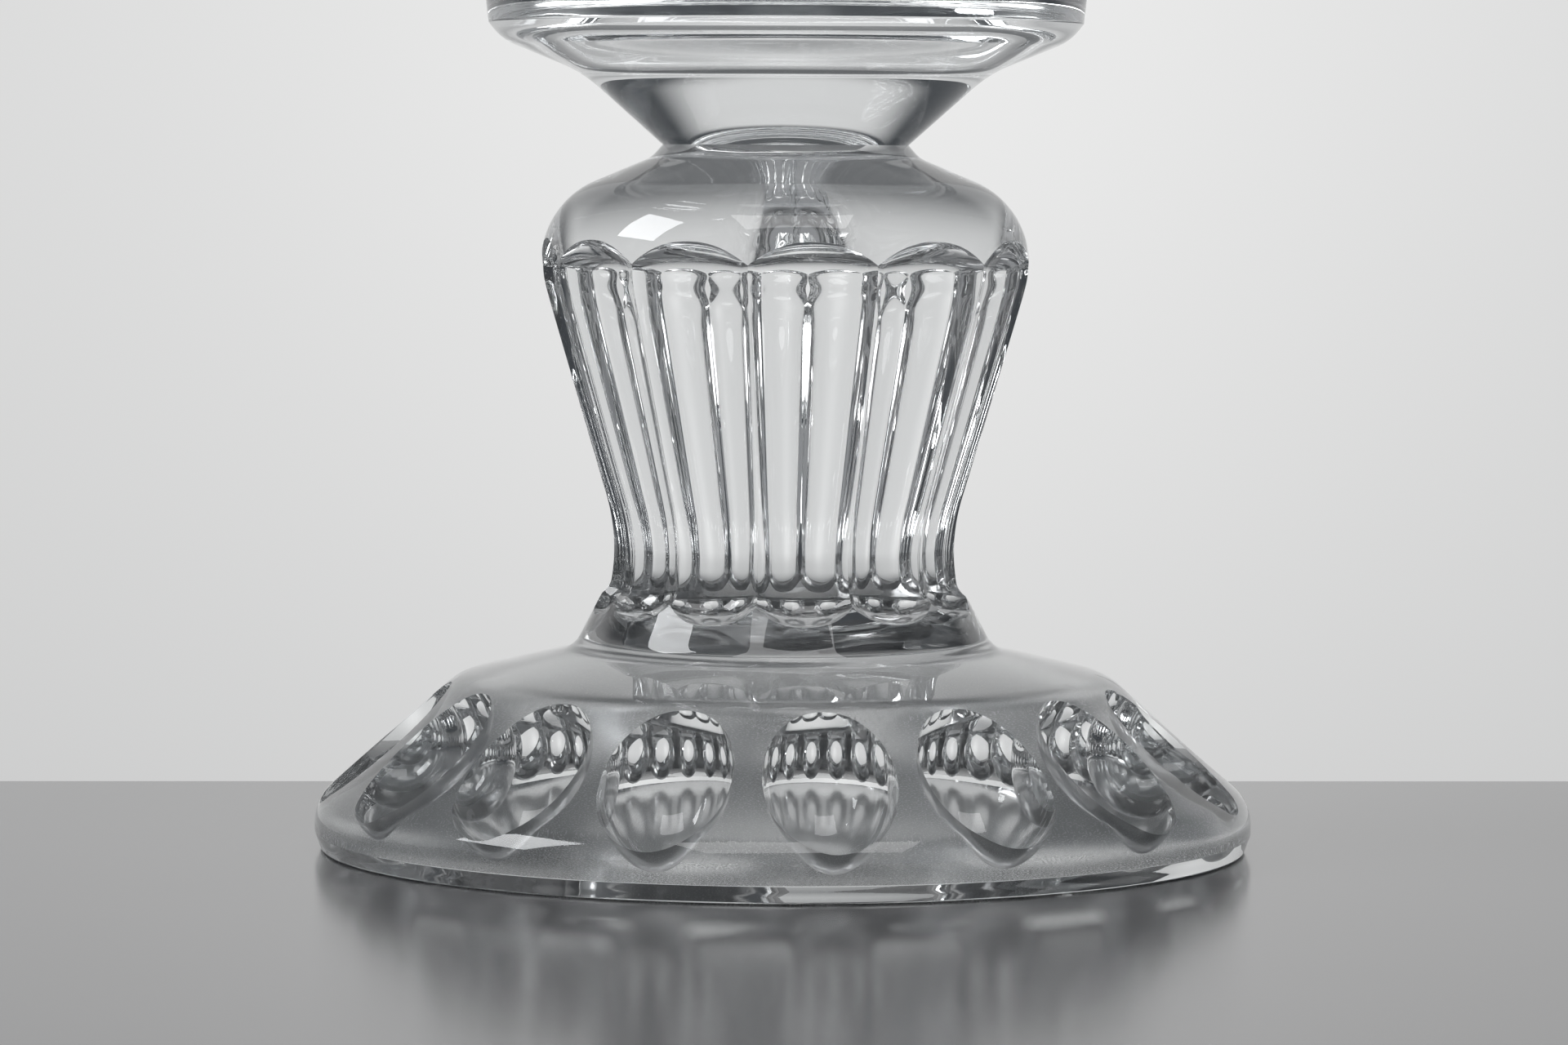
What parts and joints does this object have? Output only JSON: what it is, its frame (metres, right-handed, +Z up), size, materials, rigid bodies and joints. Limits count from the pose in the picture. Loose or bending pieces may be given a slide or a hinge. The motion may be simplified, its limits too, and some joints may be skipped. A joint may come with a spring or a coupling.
{
  "type": "covered goblet",
  "caption": "Covered clear-glass goblet with a heavy olive-cut foot, a fluted baluster stem, a tall cup on a flared base and a domed lid that lifts off by its fluted knop.",
  "frame": {"origin": "centre of the foot's flat standing face", "axes": "+Z up along the axis of the goblet, from the foot to the knop; a flute of the stem and an olive cut of the foot face -Y, the front"},
  "size_m": [0.12, 0.12, 0.3073],
  "materials": {
    "clear_glass": "polished, cut"
  },
  "bodies": {
    "goblet": {"foot": "clear_glass", "stem": "clear_glass", "bowl": "clear_glass"},
    "cover": {"lid": "clear_glass", "lid_knop": "clear_glass"}
  },
  "joints": [
    {"name": "lid_lift", "type": "slide", "parent": "goblet", "child": "cover", "axis": [0, 0, 1], "range_m": [0, 0.12]}
  ]
}
